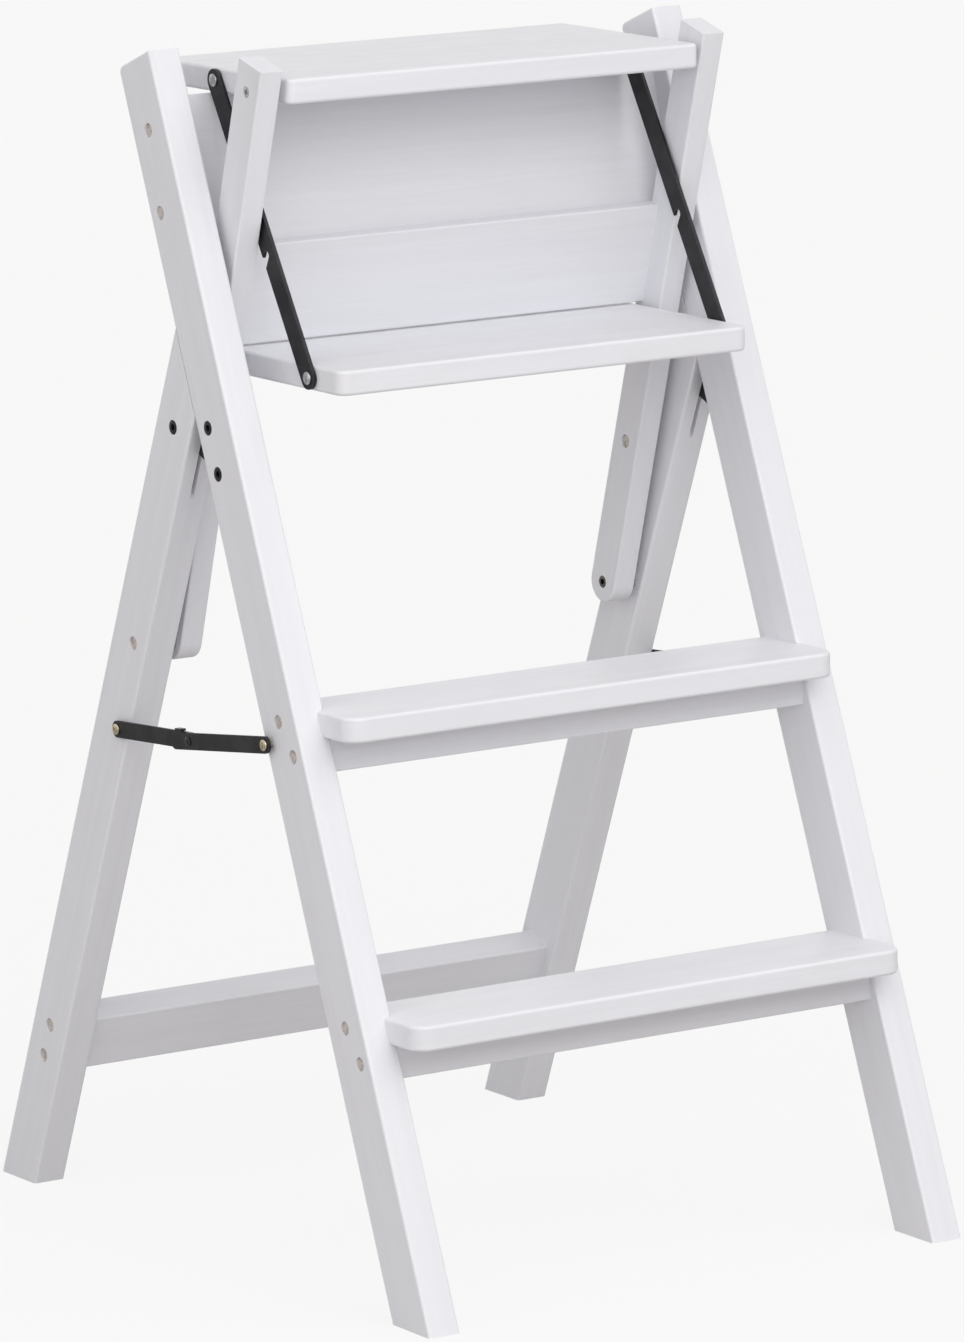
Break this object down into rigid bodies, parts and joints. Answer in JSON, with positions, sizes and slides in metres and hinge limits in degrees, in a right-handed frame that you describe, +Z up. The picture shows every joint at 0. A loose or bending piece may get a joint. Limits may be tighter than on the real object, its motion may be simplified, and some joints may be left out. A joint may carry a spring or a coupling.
{
  "type": "folding step ladder",
  "caption": "Folding wooden step ladder with flat treads, a tip-up platform and upper step on swing arms, notched links and folding side stays.",
  "frame": {"origin": "on the floor, under the middle of the ladder's box when it stands open", "axes": "+X to the right, +Y to the back, +Z up"},
  "size_m": [0.4648, 0.5696, 0.8465],
  "materials": {
    "white_paint": "white satin paint on wood",
    "wood_plug": "painted wooden plug",
    "black_steel": "black satin",
    "black_bolt": "black oxide",
    "steel_screw": "zinc plated",
    "brass_screw": "yellow zinc plated"
  },
  "bodies": {
    "front_frame": {"front_rail_left": "white_paint", "front_rail_right": "white_paint", "tread_lower": "white_paint", "tread_upper": "white_paint", "apron_lower": "white_paint", "apron_upper": "white_paint", "upper_panel": "white_paint", "hinge_plate_left": "black_steel", "hinge_plate_right": "black_steel", "hinge_plate_bolts": "black_bolt", "front_frame_screws": "steel_screw", "front_frame_plugs": "wood_plug", "stay_front_screws": "brass_screw"},
    "rear_frame": {"rear_leg_left": "white_paint", "rear_leg_right": "white_paint", "rear_crossbar": "white_paint", "crossbar_screws": "steel_screw", "rear_leg_plugs": "wood_plug", "hinge_pivot_bolts": "black_bolt", "arm_pivot_bolts": "steel_screw", "arm_spacers": "steel_screw", "stay_rear_screws": "brass_screw"},
    "arm_frame": {"arm_left": "white_paint", "arm_right": "white_paint", "lower_panel": "white_paint", "lower_panel_screws": "steel_screw", "arm_plugs": "wood_plug", "platform_pivot_screws": "steel_screw", "step_pivot_screws": "steel_screw"},
    "platform": {"platform": "white_paint", "link_upper_screws": "steel_screw"},
    "upper_step": {"upper_step": "white_paint"},
    "links": {"link_left": "black_steel", "link_right": "black_steel", "link_lower_screws": "steel_screw"},
    "stay_front_bars": {"stay_front_bar_left": "black_steel", "stay_front_bar_right": "black_steel", "stay_rivet_heads": "steel_screw"},
    "stay_rear_bars": {"stay_rear_bar_left": "black_steel", "stay_rear_bar_right": "black_steel", "stay_rivet_tails": "steel_screw"}
  },
  "joints": [
    {"name": "rear_fold", "type": "hinge", "parent": "front_frame", "child": "rear_frame", "pos_m": [0, 0.02611, 0.58508], "axis": [-1, 0, 0], "range_deg": [0, 43.4]},
    {"name": "arm_swing", "type": "hinge", "parent": "rear_frame", "child": "arm_frame", "pos_m": [0, 0.08512, 0.42353], "axis": [1, 0, 0], "range_deg": [0, 18.2]},
    {"name": "platform_tip", "type": "hinge", "parent": "arm_frame", "child": "platform", "pos_m": [0, -0.02831, 0.822], "axis": [1, 0, 0], "range_deg": [0, 62.2]},
    {"name": "upper_step_tip", "type": "hinge", "parent": "arm_frame", "child": "upper_step", "pos_m": [0, 0.02732, 0.62656], "axis": [-1, 0, 0], "range_deg": [0, 26.56]},
    {"name": "link_swing", "type": "hinge", "parent": "platform", "child": "links", "pos_m": [0, 0.04539, 0.822], "axis": [-1, 0, 0], "range_deg": [0, 48.59]},
    {"name": "stay_front_swing", "type": "hinge", "parent": "front_frame", "child": "stay_front_bars", "pos_m": [0, -0.09516, 0.38002], "axis": [1, 0, 0], "range_deg": [0, 59.94]},
    {"name": "stay_rear_swing", "type": "hinge", "parent": "rear_frame", "child": "stay_rear_bars", "pos_m": [0, 0.10428, 0.35925], "axis": [-1, 0, 0], "range_deg": [0, 65.46]}
  ],
  "couplings": [
    {"joint": "arm_swing", "follows": "rear_fold", "ratio": 0.41475},
    {"joint": "platform_tip", "follows": "rear_fold", "ratio": 1.4286},
    {"joint": "upper_step_tip", "follows": "rear_fold", "ratio": 0.60737},
    {"joint": "link_swing", "follows": "rear_fold", "ratio": 1.1149},
    {"joint": "stay_front_swing", "follows": "rear_fold", "ratio": 1.3765},
    {"joint": "stay_rear_swing", "follows": "rear_fold", "ratio": 1.5037}
  ]
}
